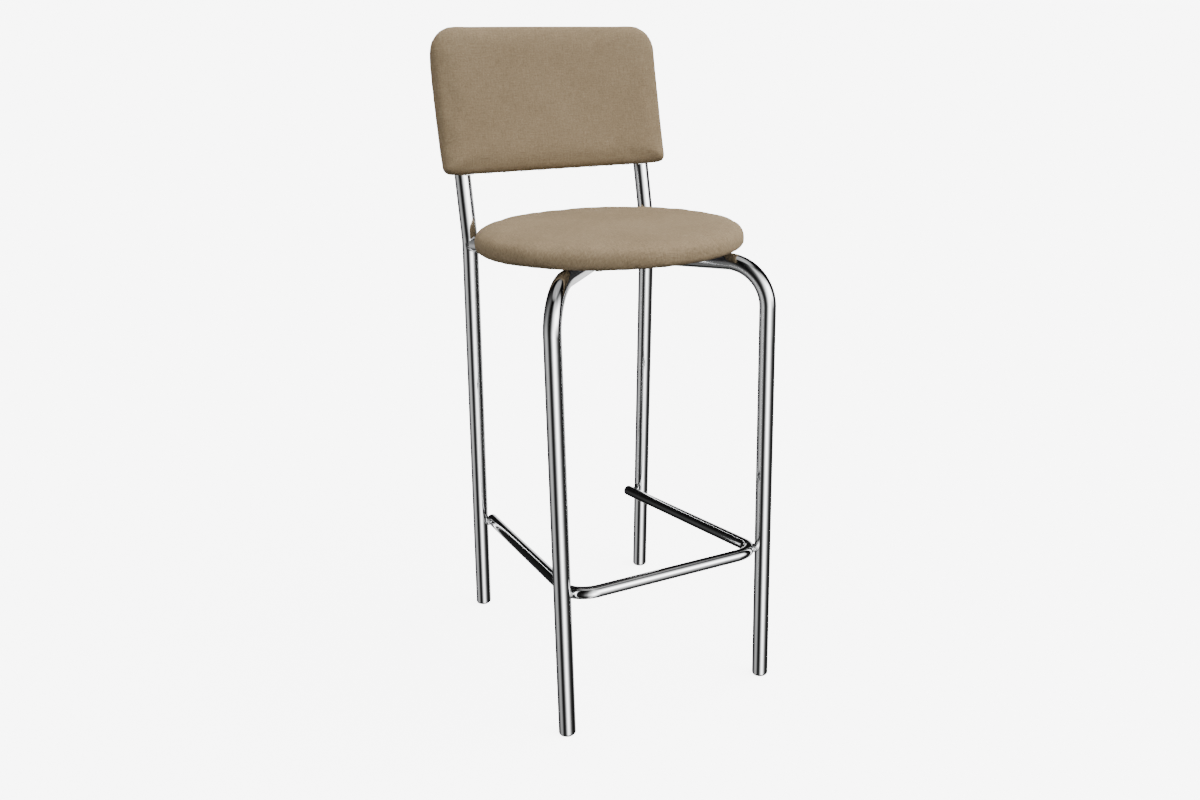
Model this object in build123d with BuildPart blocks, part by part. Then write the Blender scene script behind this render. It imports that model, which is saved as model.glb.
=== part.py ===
"""Four-legged bar stool: bent tube frame, sloping footrest, round padded seat and padded back panel.

Millimetres. +Z is up, the sitter faces -Y, and +X is on the right of someone looking at the stool from
the front. The origin is on the floor, under the middle of the whole stool. In piece names, left is the
-X side and right is the +X side.
"""

from build123d import *
import math
import os

os.makedirs("parts", exist_ok=True)

# ---- driving dimensions -------------------------------------------------------------------------

tube_d = 22.0  # legs and uprights
tube_wall = 1.5
footrest_d = 16.0
footrest_wall = 1.5
weld_gap = 0.3  # root gap between tubes that lie side by side

# where the tube axes meet the floor, bend and end, as half widths and depths
front_foot_x = 144.0
front_foot_y = -197.0
front_top_x = 146.0
front_top_y = -199.0
front_top_z = 591.0
front_bend_r = 55.0
rear_foot_x = 134.0
rear_foot_y = 185.0
kink_x = 136.0
kink_y = 144.0
kink_z = 583.5
kink_bend_r = 45.0
under_seat_drop = 11.0  # fall of the crossed tubes from the front legs to the rear legs
back_lean = 12.1  # degrees from vertical
upright_length = 255.0  # from the kink, along the tube

footrest_front_y = -205.9
footrest_front_z = 196.7
footrest_front_x = 132.55
footrest_slope = 8.68  # degrees, falling to the rear
footrest_bend_r = 32.0
footrest_overhang = 6.0  # behind the rear leg axis

foot_cap_h = 3.5
foot_cap_stem = 20.0
cap_wall_fit = 0.05

seat_centre_y = -36.8
seat_r = 176.5
seat_side_h = 29.0
seat_crown_h = 33.0
seat_shoulder_r = 14.0
seat_board_t = 12.0
seat_board_r = 166.0
seat_low_r = 9.0
cover_t = 1.2
fold_width = 22.0
cloth_t = 1.0
cloth_r = 159.0
staple_ring_r = 153.0
staple_count = 24

panel_half_w = 167.0
panel_bottom = 91.0  # along the uprights, from the kink
panel_top = 292.0
panel_corner_r = 39.0
panel_low_corner_r = 7.0
panel_front = 33.7  # in front of the upright axes
panel_back = -12.3
panel_rear_inset = 16.0
panel_front_round = 6.0
back_board_t = 10.0
board_inset = 8.0
board_low_inset = 1.6
board_gap = 0.3

seat_screw_d = 6.0
back_screw_d = 5.0
back_screw_heights = (130.0, 235.0)

SIDES = (("left", -1), ("right", 1))

tube_r = tube_d / 2
bore_r = tube_r - tube_wall
footrest_r = footrest_d / 2

# ---- axes and planes ----------------------------------------------------------------------------


def front_leg_point(side, z):
    """Point on a front leg's axis at height z."""
    share = z / front_top_z
    x = front_foot_x + (front_top_x - front_foot_x) * share
    y = front_foot_y + (front_top_y - front_foot_y) * share
    return Vector(side * x, y, z)


def rear_leg_point(side, z):
    """Point on a rear leg's axis at height z, below the kink."""
    share = z / kink_z
    x = rear_foot_x + (kink_x - rear_foot_x) * share
    y = rear_foot_y + (kink_y - rear_foot_y) * share
    return Vector(side * x, y, z)


def under_seat_point(side, share):
    """Point on a crossed tube's axis, from the front leg of this side to the opposite rear leg."""
    start = front_leg_point(side, front_top_z)
    end = Vector(-side * kink_x, kink_y, front_top_z - under_seat_drop)
    return start + (end - start) * share


lean = math.radians(back_lean)
up = Vector(0, math.sin(lean), math.cos(lean))
forward = Vector(0, -math.cos(lean), math.sin(lean))
kink_middle = Vector(0, kink_y, kink_z)
back_plane = Plane(origin=kink_middle, x_dir=(1, 0, 0), z_dir=forward)

seat_tilt = math.atan2(under_seat_drop, kink_y - front_top_y)
seat_normal = Vector(0, math.sin(seat_tilt), math.cos(seat_tilt))
seat_axis_z = front_top_z - (seat_centre_y - front_top_y) * math.tan(seat_tilt)
seat_base = Vector(0, seat_centre_y, seat_axis_z) + seat_normal * (tube_r + cover_t + cloth_t)
seat_plane = Plane(origin=seat_base, x_dir=(1, 0, 0), z_dir=seat_normal)
seat_section = Plane(origin=seat_base, x_dir=(1, 0, 0), z_dir=-seat_plane.y_dir)

cross_share = front_top_x / (front_top_x + kink_x)
seat_screw_shares = (0.43, 0.66)
axis_clearance = 3.0  # a coped tube stops this far short of the axis that it meets

footrest_fall = math.tan(math.radians(footrest_slope))


def footrest_z(y):
    """Height of the footrest's axis at depth y."""
    return footrest_front_z - (y - footrest_front_y) * footrest_fall


rear_leg_lean = (kink_y - rear_foot_y) / kink_z
rear_contact_z = footrest_z(rear_foot_y) / (1 + rear_leg_lean * footrest_fall)
rear_contact_leg = rear_leg_point(1, rear_contact_z)
footrest_rear_x = rear_contact_leg.X - tube_r - footrest_r - weld_gap
footrest_run = rear_contact_leg.Y - footrest_front_y
footrest_end_y = rear_contact_leg.Y + footrest_overhang
footrest_taper = (footrest_rear_x - footrest_front_x) / footrest_run
footrest_end_x = footrest_rear_x + footrest_taper * footrest_overhang

# ---- round bars that the sub-parts are cut with -------------------------------------------------


def bar(points, bend_r, radius):
    """Solid round bar along straight runs joined by one bend."""
    with BuildPart() as solid:
        with BuildLine() as centre:
            if bend_r:
                FilletPolyline(*points, radius=bend_r)
            else:
                Line(*points)
        with BuildSketch(Plane(origin=centre.line @ 0, z_dir=centre.line % 0)):
            Circle(radius)
        sweep()
    return solid.part


def rod(start, end, radius):
    """Solid straight rod, extruded along its axis."""
    run = end - start
    with BuildPart() as solid:
        with BuildSketch(Plane(origin=start, z_dir=run.normalized())):
            Circle(radius)
        extrude(amount=run.length)
    return solid.part


def rear_route(side):
    """Corner points of a rear leg and its upright."""
    foot = rear_leg_point(side, foot_cap_h)
    kink = Vector(side * kink_x, kink_y, kink_z)
    return (foot, kink, kink + up * upright_length)


def front_route(side, share):
    """Corner points of a front leg and its run under the seat, up to a share of the way."""
    foot = front_leg_point(side, foot_cap_h)
    corner = front_leg_point(side, front_top_z)
    return (foot, corner, under_seat_point(side, share))


def short_of(side, share, gap):
    """Share of the under-seat run that ends a gap short of the given share."""
    length = (under_seat_point(side, 1) - under_seat_point(side, 0)).length
    return share - gap / length


def footrest_route():
    """Corner points of the footrest, from the left rear end to the right rear end."""
    end_z = footrest_z(footrest_end_y)
    return (
        Vector(-footrest_end_x, footrest_end_y, end_z),
        Vector(-footrest_front_x, footrest_front_y, footrest_front_z),
        Vector(footrest_front_x, footrest_front_y, footrest_front_z),
        Vector(footrest_end_x, footrest_end_y, end_z),
    )


rear_bars = {side: bar(rear_route(side), kink_bend_r, tube_r) for _, side in SIDES}
through_bar = bar(front_route(-1, short_of(-1, 1, axis_clearance)), front_bend_r, tube_r)
front_right_bar = bar(
    front_route(1, short_of(1, cross_share, axis_clearance)), front_bend_r, tube_r
)
stub_start = under_seat_point(1, short_of(1, cross_share, -axis_clearance))
stub_end = under_seat_point(1, short_of(1, 1, axis_clearance))
stub_bar = bar((stub_start, stub_end), 0, tube_r)
footrest_bar_solid = bar(footrest_route(), footrest_bend_r, footrest_r)


def seat_screw_planes(side):
    """Planes across the seat screws of one crossed tube, at the height of the board's underside."""
    planes = []
    for share in seat_screw_shares:
        foot = under_seat_point(side, share) + seat_normal * (tube_r + cover_t + cloth_t)
        planes.append(Plane(origin=foot, x_dir=(1, 0, 0), z_dir=seat_normal))
    return planes


def back_screw_plane(side, height):
    """Plane across a back screw, at the upright's axis, looking forward."""
    centre = Vector(side * kink_x, kink_y, kink_z) + up * height
    return Plane(origin=centre, x_dir=(1, 0, 0), z_dir=forward)


# ---- frame --------------------------------------------------------------------------------------

for name, side in SIDES:
    with BuildPart() as rear_leg:
        with BuildLine() as rear_path:
            FilletPolyline(*rear_route(side), radius=kink_bend_r)
        with BuildSketch(Plane(origin=rear_path.line @ 0, z_dir=rear_path.line % 0)):
            Circle(tube_r)
            Circle(bore_r, mode=Mode.SUBTRACT)
        sweep()
        for height in back_screw_heights:
            screw_plane = back_screw_plane(side, height)
            with BuildSketch(screw_plane):
                Circle(back_screw_d / 2)
            extrude(amount=tube_d, mode=Mode.SUBTRACT)
            with BuildSketch(screw_plane):
                Circle(6.0)
            extrude(amount=-tube_d, mode=Mode.SUBTRACT)
    rear_leg.part.label = f"rear_leg_{name}"
    export_step(rear_leg.part, f"parts/rear_leg_{name}.step")

with BuildPart() as front_leg_left:
    with BuildLine() as left_path:
        FilletPolyline(*front_route(-1, short_of(-1, 1, axis_clearance)), radius=front_bend_r)
    with BuildSketch(Plane(origin=left_path.line @ 0, z_dir=left_path.line % 0)):
        Circle(tube_r)
        Circle(bore_r, mode=Mode.SUBTRACT)
    sweep()
    add(rear_bars[1], mode=Mode.SUBTRACT)
    for screw_plane in seat_screw_planes(-1):
        with BuildSketch(screw_plane):
            Circle(seat_screw_d / 2)
        extrude(amount=-2 * tube_d, mode=Mode.SUBTRACT)
front_leg_left.part.label = "front_leg_left"
export_step(front_leg_left.part, "parts/front_leg_left.step")

with BuildPart() as front_leg_right:
    with BuildLine() as right_path:
        FilletPolyline(
            *front_route(1, short_of(1, cross_share, axis_clearance)), radius=front_bend_r
        )
    with BuildSketch(Plane(origin=right_path.line @ 0, z_dir=right_path.line % 0)):
        Circle(tube_r)
        Circle(bore_r, mode=Mode.SUBTRACT)
    sweep()
    add(through_bar, mode=Mode.SUBTRACT)
    with BuildSketch(seat_screw_planes(1)[0]):
        Circle(seat_screw_d / 2)
    extrude(amount=-2 * tube_d, mode=Mode.SUBTRACT)
front_leg_right.part.label = "front_leg_right"
export_step(front_leg_right.part, "parts/front_leg_right.step")

with BuildPart() as seat_cross_stub:
    with BuildLine() as stub_path:
        Line(stub_start, stub_end)
    with BuildSketch(Plane(origin=stub_path.line @ 0, z_dir=stub_path.line % 0)):
        Circle(tube_r)
        Circle(bore_r, mode=Mode.SUBTRACT)
    sweep()
    add(through_bar, mode=Mode.SUBTRACT)
    add(rear_bars[-1], mode=Mode.SUBTRACT)
    with BuildSketch(seat_screw_planes(1)[1]):
        Circle(seat_screw_d / 2)
    extrude(amount=-2 * tube_d, mode=Mode.SUBTRACT)
seat_cross_stub.part.label = "seat_cross_stub"
export_step(seat_cross_stub.part, "parts/seat_cross_stub.step")

with BuildPart() as footrest_bar:
    with BuildLine() as footrest_path:
        FilletPolyline(*footrest_route(), radius=footrest_bend_r)
    with BuildSketch(Plane(origin=footrest_path.line @ 0, z_dir=footrest_path.line % 0)):
        Circle(footrest_r)
        Circle(footrest_r - footrest_wall, mode=Mode.SUBTRACT)
    sweep()
footrest_bar.part.label = "footrest_bar"
export_step(footrest_bar.part, "parts/footrest_bar.step")

# ---- weld beads ---------------------------------------------------------------------------------

bead_r = 6.0
bead_root_r = 3.2  # the root between the tubes stays open
collar = 1.4  # leg length of the bead around a coped tube end
ground_off = 0.6  # the beads are ground back this far below the tubes' tops, under the seat


def footrest_bend(side):
    """Centre and axis of the footrest's bend on one side."""
    corner = Vector(side * footrest_front_x, footrest_front_y, footrest_front_z)
    inward = Vector(-side, 0, 0)
    rearward = Vector(side * footrest_taper, 1, -footrest_fall).normalized()
    turn = math.pi - math.acos(inward.dot(rearward))
    middle = (inward + rearward).normalized()
    centre = corner + middle * (footrest_bend_r / math.cos(turn / 2))
    return centre, inward.cross(rearward).normalized()


def front_contact(side):
    """Point where the footrest's front bend lies against a front leg."""
    centre, axis = footrest_bend(side)
    leg = front_leg_point(side, footrest_z(footrest_front_y))
    toward = leg - centre
    toward = (toward - axis * toward.dot(axis)).normalized()
    return centre + toward * (footrest_bend_r + footrest_r)


def rear_contact(side):
    """Point where the footrest's side run lies against a rear leg."""
    return Vector(side * (footrest_rear_x + footrest_r), rear_contact_leg.Y, rear_contact_z)


reach = 15.0  # half the length of the rods that the beads are cut with


def leg_rod(leg_point, side, z):
    """Straight rod in the place of a leg, near a height."""
    return rod(leg_point(side, z - reach), leg_point(side, z + reach), tube_r)


def front_bead(side):
    """Weld bead round the place where the footrest's bend lies against a front leg."""
    point = front_contact(side)
    centre, axis = footrest_bend(side)
    with BuildPart() as bead:
        with Locations(point):
            Sphere(bead_r)
            Sphere(bead_root_r, mode=Mode.SUBTRACT)
        with Locations(Plane(origin=centre, z_dir=axis)):
            Torus(footrest_bend_r, footrest_r, mode=Mode.SUBTRACT)
        add(leg_rod(front_leg_point, side, point.Z), mode=Mode.SUBTRACT)
    return bead.part


def rear_bead(side):
    """Weld bead round the place where the footrest lies against a rear leg."""
    point = rear_contact(side)
    along = Vector(side * footrest_taper, 1, -footrest_fall).normalized()
    centre = point - Vector(side * footrest_r, 0, 0)
    with BuildPart() as bead:
        with Locations(point):
            Sphere(bead_r)
            Sphere(bead_root_r, mode=Mode.SUBTRACT)
        add(rod(centre - along * reach, centre + along * reach, footrest_r), mode=Mode.SUBTRACT)
        add(leg_rod(rear_leg_point, side, point.Z), mode=Mode.SUBTRACT)
    return bead.part


left_beads = (front_bead(-1), rear_bead(-1))
with BuildPart() as footrest_welds:
    for left_bead in left_beads:
        add(left_bead)
        add(mirror(left_bead, about=Plane.YZ))
footrest_welds.part.label = "footrest_welds"
export_step(footrest_welds.part, "parts/footrest_welds.step")

leg_collars = {
    side: bar(
        (rear_leg_point(side, kink_z - 40.0), Vector(side * kink_x, kink_y, kink_z)),
        0,
        tube_r + collar,
    )
    for _, side in SIDES
}
cross_collar = bar(
    (under_seat_point(-1, cross_share - 0.08), under_seat_point(-1, cross_share + 0.08)),
    0,
    tube_r + collar,
)


def bead_sleeve(side, share_from, share_to):
    """Round sleeve over a crossed tube, out of which a bead is cut."""
    ends = (under_seat_point(side, share_from), under_seat_point(side, share_to))
    return bar(ends, 0, tube_r + collar)


joint_beads = (
    (bead_sleeve(-1, 0.93, 1.0), leg_collars[1]),
    (bead_sleeve(1, 0.93, 1.0), leg_collars[-1]),
    (bead_sleeve(1, cross_share - 0.06, cross_share + 0.06), cross_collar),
)

with BuildPart() as frame_welds:
    for sleeve, collar_bar in joint_beads:
        add(sleeve & collar_bar)
    with BuildSketch(seat_plane.offset(-cover_t - cloth_t - ground_off)):
        Circle(seat_r + tube_d)
    extrude(amount=tube_r, mode=Mode.SUBTRACT)
    add(rear_bars[-1], mode=Mode.SUBTRACT)
    add(rear_bars[1], mode=Mode.SUBTRACT)
    add(through_bar, mode=Mode.SUBTRACT)
    add(front_right_bar, mode=Mode.SUBTRACT)
    add(stub_bar, mode=Mode.SUBTRACT)
frame_welds.part.label = "frame_welds"
export_step(frame_welds.part, "parts/frame_welds.step")

# ---- plastic end caps ---------------------------------------------------------------------------

for name, side in SIDES:
    for row, point_at in (("front", front_leg_point), ("rear", rear_leg_point)):
        low = point_at(side, 0)
        rise = (point_at(side, foot_cap_h) - low).normalized()
        top = point_at(side, foot_cap_h)
        with BuildPart() as foot_cap:
            with BuildSketch(Plane(origin=top, z_dir=rise)):
                Circle(tube_r)
            extrude(amount=-(foot_cap_h + 1.5))
            fillet(foot_cap.edges().sort_by(Axis.Z)[0], 2.5)
            with BuildSketch(Plane(origin=top, z_dir=rise)):
                Circle(bore_r - cap_wall_fit)
            extrude(amount=foot_cap_stem)
            split(bisect_by=Plane.XY, keep=Keep.TOP)
        foot_cap.part.label = f"foot_cap_{row}_{name}"
        export_step(foot_cap.part, f"parts/foot_cap_{row}_{name}.step")

end_cap_dome = 2.4
end_cap_stem = 12.0

for name, side in SIDES:
    corner = Vector(side * footrest_front_x, footrest_front_y, footrest_front_z)
    end = Vector(side * footrest_end_x, footrest_end_y, footrest_z(footrest_end_y))
    outward = (end - corner).normalized()
    with BuildPart() as footrest_end_cap:
        with BuildSketch(Plane(origin=end, z_dir=outward)):
            Circle(footrest_r)
        extrude(amount=end_cap_dome)
        fillet(footrest_end_cap.edges().sort_by(Axis(end, outward))[-1], end_cap_dome - 0.3)
        with BuildSketch(Plane(origin=end, z_dir=outward)):
            Circle(footrest_r - footrest_wall - cap_wall_fit)
        extrude(amount=-end_cap_stem)
    footrest_end_cap.part.label = f"footrest_end_cap_{name}"
    export_step(footrest_end_cap.part, f"parts/footrest_end_cap_{name}.step")

    upright_end = Vector(side * kink_x, kink_y, kink_z) + up * upright_length
    with BuildPart() as upright_plug:
        with BuildSketch(Plane(origin=upright_end, z_dir=up)):
            Circle(tube_r)
        extrude(amount=end_cap_dome)
        with BuildSketch(Plane(origin=upright_end, z_dir=up)):
            Circle(bore_r - cap_wall_fit)
        extrude(amount=-end_cap_stem)
    upright_plug.part.label = f"upright_plug_{name}"
    export_step(upright_plug.part, f"parts/upright_plug_{name}.step")

# ---- staples ------------------------------------------------------------------------------------

staple_crown = 10.0
staple_wire_w = 1.2
staple_wire_t = 0.6
staple_leg = 6.0


def staple(plane):
    """One wire staple, its crown under the plane's origin and along x, its legs along +z."""
    with BuildPart() as wire:
        with BuildSketch(plane):
            Rectangle(staple_crown, staple_wire_w)
        extrude(amount=-staple_wire_t)
        with BuildSketch(plane):
            with GridLocations(staple_crown - staple_wire_t, 1, 2, 1):
                Rectangle(staple_wire_t, staple_wire_w)
        extrude(amount=staple_leg)
    return wire.part


def bearing(point):
    """Angle of a point about the seat's centre, in degrees."""
    return math.degrees(math.atan2(point.Y - seat_centre_y, point.X))


rim_shares = (0.147, 0.835)  # where the crossed tubes pass under the ring of staples
tube_bearings = [
    bearing(under_seat_point(side, share)) for _, side in SIDES for share in rim_shares
]
tube_clear_angle = 7.0
staple_bearings = [
    -180 + (n + 0.5) * 360 / staple_count for n in range(staple_count)
]
free_bearings = [
    angle
    for angle in staple_bearings
    if min(abs(angle - taken) for taken in tube_bearings) > tube_clear_angle
]

with BuildPart() as seat_staples:
    for angle in free_bearings:
        turn = math.radians(angle)
        outward = seat_plane.x_dir * math.cos(turn) + seat_plane.y_dir * math.sin(turn)
        along = seat_plane.y_dir * math.cos(turn) - seat_plane.x_dir * math.sin(turn)
        spot = seat_base + outward * staple_ring_r - seat_normal * (cover_t + cloth_t)
        add(staple(Plane(origin=spot, x_dir=along, z_dir=seat_normal)))
seat_staples.part.label = "seat_staples"
export_step(seat_staples.part, "parts/seat_staples.step")

# ---- seat ---------------------------------------------------------------------------------------

tee_barrel_r = seat_screw_d / 2 + 1.0
tee_flange_r = 9.0
tee_flange_t = 1.2
seat_holes = seat_screw_planes(-1) + seat_screw_planes(1)

with BuildPart() as seat_board:
    with BuildSketch(seat_plane):
        Circle(seat_board_r)
    extrude(amount=seat_board_t)
    for hole in seat_holes:
        with BuildSketch(hole):
            Circle(tee_barrel_r)
        extrude(amount=seat_board_t, mode=Mode.SUBTRACT)
        with BuildSketch(hole.offset(seat_board_t - tee_flange_t)):
            Circle(tee_flange_r)
        extrude(amount=tee_flange_t, mode=Mode.SUBTRACT)
    add(seat_staples.part, mode=Mode.SUBTRACT)
seat_board.part.label = "seat_board"
export_step(seat_board.part, "parts/seat_board.step")


def turned_pad(radius, bottom, side_top, crown_top, low_r):
    """Round pad turned about the seat's axis: flat below, round edges and a low crown above."""
    shoulder = seat_shoulder_r
    edge = radius - shoulder
    slope = math.sqrt(0.5)
    rise = crown_top - side_top
    crown_r = (edge**2 + rise**2) / (2 * rise)  # the crown is part of a sphere
    half_way = crown_top - crown_r + math.sqrt(crown_r**2 - edge**2 / 4)
    with BuildPart() as pad:
        with BuildSketch(seat_section):
            with BuildLine():
                Polyline((0, crown_top), (0, bottom), (radius - low_r, bottom))
                ThreePointArc(
                    (radius - low_r, bottom),
                    (radius - low_r + low_r * slope, bottom + low_r - low_r * slope),
                    (radius, bottom + low_r),
                )
                Line((radius, bottom + low_r), (radius, side_top - shoulder))
                ThreePointArc(
                    (radius, side_top - shoulder),
                    (edge + shoulder * slope, side_top - shoulder + shoulder * slope),
                    (edge, side_top),
                )
                ThreePointArc((edge, side_top), (edge / 2, half_way), (0, crown_top))
            make_face()
        revolve(axis=Axis(seat_base, seat_normal))
    return pad.part


stuffing = turned_pad(
    seat_r - cover_t, 0, seat_side_h - cover_t, seat_crown_h - cover_t, seat_low_r
)
with BuildPart() as seat_foam:
    add(stuffing)
    with BuildSketch(seat_plane):
        Circle(seat_board_r)
    extrude(amount=seat_board_t, mode=Mode.SUBTRACT)
seat_foam.part.label = "seat_foam"
export_step(seat_foam.part, "parts/seat_foam.step")

cover_outside = turned_pad(seat_r, -cover_t, seat_side_h, seat_crown_h, seat_low_r + cover_t)
with BuildPart() as seat_cover:
    add(cover_outside)
    add(stuffing, mode=Mode.SUBTRACT)
    with BuildSketch(seat_plane.offset(-2 * cover_t)):
        Circle(seat_board_r - fold_width)
    extrude(amount=2.5 * cover_t, mode=Mode.SUBTRACT)
    add(seat_staples.part, mode=Mode.SUBTRACT)
seat_cover.part.label = "seat_cover"
export_step(seat_cover.part, "parts/seat_cover.step")

with BuildPart() as seat_dust_cloth:
    with BuildSketch(seat_plane.offset(-cover_t)):
        Circle(cloth_r)
    extrude(amount=-cloth_t)
    for hole in seat_holes:
        with BuildSketch(hole):
            Circle(seat_screw_d / 2)
        extrude(amount=-2 * tube_r, mode=Mode.SUBTRACT)
    add(seat_staples.part, mode=Mode.SUBTRACT)
seat_dust_cloth.part.label = "seat_dust_cloth"
export_step(seat_dust_cloth.part, "parts/seat_dust_cloth.step")

with BuildPart() as seat_tee_nuts:
    for hole in seat_holes:
        with BuildSketch(hole):
            Circle(tee_barrel_r)
            Circle(seat_screw_d / 2, mode=Mode.SUBTRACT)
        extrude(amount=seat_board_t - tee_flange_t)
        with BuildSketch(hole.offset(seat_board_t - tee_flange_t)):
            Circle(tee_flange_r)
            Circle(seat_screw_d / 2, mode=Mode.SUBTRACT)
        extrude(amount=tee_flange_t)
seat_tee_nuts.part.label = "seat_tee_nuts"
export_step(seat_tee_nuts.part, "parts/seat_tee_nuts.step")

washer_t = 2.5
washer_r = 8.0
head_r = 5.7
head_h = 3.4
key_r = 2.3
key_depth = 2.2
tube_under = -(cover_t + cloth_t + tube_d)  # underside of the crossed tubes, from the seat's base
head_seat = tube_under - washer_t

with BuildPart() as seat_washers:
    for hole in seat_holes:
        with BuildSketch(hole.offset(head_seat)):
            Circle(washer_r)
            Circle(seat_screw_d / 2, mode=Mode.SUBTRACT)
        extrude(amount=washer_t + 3.2)
    add(through_bar, mode=Mode.SUBTRACT)
    add(front_right_bar, mode=Mode.SUBTRACT)
    add(stub_bar, mode=Mode.SUBTRACT)
seat_washers.part.label = "seat_washers"
export_step(seat_washers.part, "parts/seat_washers.step")

with BuildPart() as seat_screws:
    for hole in seat_holes:
        with BuildSketch(hole.offset(head_seat)):
            Circle(seat_screw_d / 2)
        extrude(amount=seat_board_t - 2.0 - head_seat)
        with BuildSketch(hole.offset(head_seat)):
            Circle(head_r)
        extrude(amount=-head_h, taper=12)
        with BuildSketch(hole.offset(head_seat - head_h)):
            RegularPolygon(key_r, 6)
        extrude(amount=key_depth, mode=Mode.SUBTRACT)
seat_screws.part.label = "seat_screws"
export_step(seat_screws.part, "parts/seat_screws.step")

# ---- back panel ---------------------------------------------------------------------------------


def panel_outline(level, inset_side, inset_top, inset_bottom):
    """Sketch of the panel's outline at a distance in front of the upright axes."""
    low = panel_bottom + inset_bottom
    high = panel_top - inset_top
    with BuildSketch(back_plane.offset(level)) as outline:
        with Locations((0, (low + high) / 2)):
            Rectangle(2 * (panel_half_w - inset_side), high - low)
        rows = outline.vertices().group_by(Axis.Y)
        fillet(rows[-1], panel_corner_r - inset_side)
        fillet(outline.vertices().group_by(Axis.Y)[0], panel_low_corner_r - inset_bottom)
    return outline.sketch


board_back = tube_r + board_gap
board_front = board_back + back_board_t


def panel_envelope(skin):
    """The padded panel's outer form, or the space inside a skin of that thickness."""
    waist = panel_outline(board_back, skin, skin, skin)
    rear = panel_outline(panel_back + skin, panel_rear_inset + skin, panel_rear_inset + skin, skin)
    with BuildPart() as envelope:
        add(waist)
        extrude(amount=panel_front - skin - board_back, dir=forward)
        front = envelope.faces().sort_by(Axis(kink_middle, forward))[-1]
        fillet(front.edges(), panel_front_round - skin)
        loft([rear, waist], ruled=True)
    return envelope.part


closing_pitch = 26.0
closing_count = 11
closing_level = (board_back + board_front) / 2
with BuildPart() as back_staples:
    for n in range(closing_count):
        across = (n - (closing_count - 1) / 2) * closing_pitch
        spot = kink_middle + up * panel_bottom + forward * closing_level
        spot = spot + Vector(across, 0, 0)
        add(staple(Plane(origin=spot, x_dir=(1, 0, 0), z_dir=up)))
back_staples.part.label = "back_staples"
export_step(back_staples.part, "parts/back_staples.step")

with BuildPart() as back_board:
    add(panel_outline(board_back, board_inset, board_inset, board_low_inset))
    extrude(amount=back_board_t, dir=forward)
    for _, side in SIDES:
        for height in back_screw_heights:
            with BuildSketch(back_screw_plane(side, height).offset(board_back)):
                Circle(back_screw_d / 2 + 1.0)
            extrude(amount=back_board_t, mode=Mode.SUBTRACT)
            with BuildSketch(back_screw_plane(side, height).offset(board_front - tee_flange_t)):
                Circle(7.5)
            extrude(amount=tee_flange_t, mode=Mode.SUBTRACT)
    add(back_staples.part, mode=Mode.SUBTRACT)
back_board.part.label = "back_board"
export_step(back_board.part, "parts/back_board.step")

foam_inset = cover_t + 0.1
with BuildPart() as back_foam:
    add(panel_outline(board_back, foam_inset, foam_inset, foam_inset))
    extrude(amount=panel_front - cover_t - 0.1 - board_back, dir=forward)
    foam_front = back_foam.faces().sort_by(Axis(kink_middle, forward))[-1]
    fillet(foam_front.edges(), panel_front_round - foam_inset)
    add(panel_outline(board_back, board_inset, board_inset, board_low_inset - board_gap))
    extrude(amount=back_board_t, dir=forward, mode=Mode.SUBTRACT)
    with BuildSketch(back_plane.offset(board_back)):
        with Locations((0, panel_bottom)):
            Rectangle(2 * panel_half_w - 20.0, 2 * board_low_inset)
    extrude(amount=back_board_t, mode=Mode.SUBTRACT)
back_foam.part.label = "back_foam"
export_step(back_foam.part, "parts/back_foam.step")

infill_half_w = kink_x - tube_r - 1.0
infill_low = panel_bottom + 8.0
infill_high = panel_top - panel_rear_inset - 6.0
with BuildPart() as back_infill:
    with BuildSketch(back_plane.offset(panel_back + cover_t + 0.3)):
        with Locations((0, (infill_low + infill_high) / 2)):
            Rectangle(2 * infill_half_w, infill_high - infill_low)
    extrude(amount=board_back - panel_back - cover_t - 0.3)
    fillet(back_infill.edges().filter_by(Axis(kink_middle, forward)), 6.0)
back_infill.part.label = "back_infill"
export_step(back_infill.part, "parts/back_infill.step")

panel_outside = panel_envelope(0)
panel_inside = panel_envelope(cover_t)
with BuildPart() as back_cover:
    add(panel_outside)
    add(panel_inside, mode=Mode.SUBTRACT)
    add(rear_bars[-1], mode=Mode.SUBTRACT)
    add(rear_bars[1], mode=Mode.SUBTRACT)
    add(back_staples.part, mode=Mode.SUBTRACT)
back_cover.part.label = "back_cover"
export_step(back_cover.part, "parts/back_cover.step")

with BuildPart() as back_tee_nuts:
    for _, side in SIDES:
        for height in back_screw_heights:
            with BuildSketch(back_screw_plane(side, height).offset(board_back + 1.0)):
                Circle(back_screw_d / 2 + 1.0)
                Circle(back_screw_d / 2, mode=Mode.SUBTRACT)
            extrude(amount=back_board_t - 1.0 - tee_flange_t)
            with BuildSketch(back_screw_plane(side, height).offset(board_front - tee_flange_t)):
                Circle(7.5)
                Circle(back_screw_d / 2, mode=Mode.SUBTRACT)
            extrude(amount=tee_flange_t)
back_tee_nuts.part.label = "back_tee_nuts"
export_step(back_tee_nuts.part, "parts/back_tee_nuts.step")

back_head_r = 4.6
back_head_h = 3.0
head_drop = 1.2  # the curved bore wall keeps a flat head this far off it

with BuildPart() as back_screws:
    for _, side in SIDES:
        for height in back_screw_heights:
            head_level = bore_r - head_drop
            with BuildSketch(back_screw_plane(side, height).offset(head_level)):
                Circle(back_screw_d / 2)
            extrude(amount=board_front - 1.0 - head_level)
            with BuildSketch(back_screw_plane(side, height).offset(head_level)):
                Circle(back_head_r)
            extrude(amount=-back_head_h, taper=10)
            with BuildSketch(back_screw_plane(side, height).offset(head_level - back_head_h)):
                RegularPolygon(2.0, 6)
            extrude(amount=1.8, mode=Mode.SUBTRACT)
back_screws.part.label = "back_screws"
export_step(back_screws.part, "parts/back_screws.step")
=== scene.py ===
import bpy
import math
import numpy as np
from mathutils import Matrix, Vector


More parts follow.
